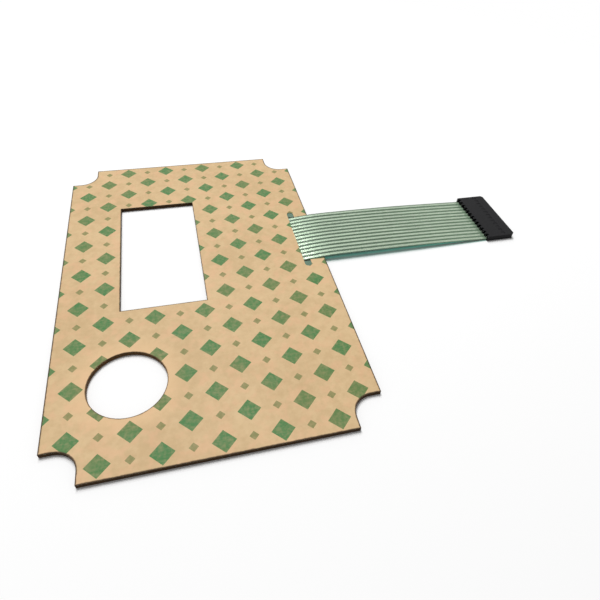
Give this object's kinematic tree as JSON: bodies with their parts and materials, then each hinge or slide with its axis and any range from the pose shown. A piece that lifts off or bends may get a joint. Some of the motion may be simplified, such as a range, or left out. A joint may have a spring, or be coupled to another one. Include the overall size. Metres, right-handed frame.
{
  "type": "membrane keypad",
  "caption": "Flat membrane keypad lying on its front, with a display window, a control hole, notched corners, a kraft release liner and a printed film tail with a single-row connector.",
  "frame": {"origin": "centre of the panel outline on the front face of the graphic overlay, which lies on the table", "axes": "+X towards the tail and its connector, +Y towards the panel's top edge, +Z out of the back, through the release liner"},
  "size_m": [0.2175, 0.18, 0.0029],
  "materials": {
    "overlay_film": "fine matte polyester with printed key fields",
    "adhesive": "clear pressure-sensitive adhesive",
    "spacer_sheet": "dark sheet with a cut edge",
    "circuit_film": "smooth clear film with a green cast",
    "silver_print": "satin printed silver",
    "green_coat": "thin printed green coat",
    "dome_steel": "bright spring steel",
    "kraft_liner": "tan kraft paper with a sparse green print",
    "connector_plastic": "moulded black plastic",
    "terminal_metal": "tinned stamping"
  },
  "bodies": {
    "root": {"graphic_overlay": "overlay_film", "overlay_adhesive": "adhesive", "spacer_sheet": "spacer_sheet", "spacer_adhesive": "adhesive", "circuit_film": "circuit_film", "key_contacts": "silver_print", "tail_traces": "silver_print", "tail_coat": "green_coat", "rear_adhesive": "adhesive", "release_liner": "kraft_liner", "connector_housing": "connector_plastic", "snap_dome_1": "dome_steel", "snap_dome_2": "dome_steel", "snap_dome_3": "dome_steel", "snap_dome_4": "dome_steel", "snap_dome_5": "dome_steel", "snap_dome_6": "dome_steel", "snap_dome_7": "dome_steel", "snap_dome_8": "dome_steel", "snap_dome_9": "dome_steel", "snap_dome_10": "dome_steel", "snap_dome_11": "dome_steel", "snap_dome_12": "dome_steel", "terminal_1": "terminal_metal", "terminal_2": "terminal_metal", "terminal_3": "terminal_metal", "terminal_4": "terminal_metal", "terminal_5": "terminal_metal", "terminal_6": "terminal_metal", "terminal_7": "terminal_metal", "terminal_8": "terminal_metal", "terminal_9": "terminal_metal", "terminal_10": "terminal_metal", "terminal_11": "terminal_metal", "terminal_12": "terminal_metal", "terminal_13": "terminal_metal"}
  },
  "joints": []
}
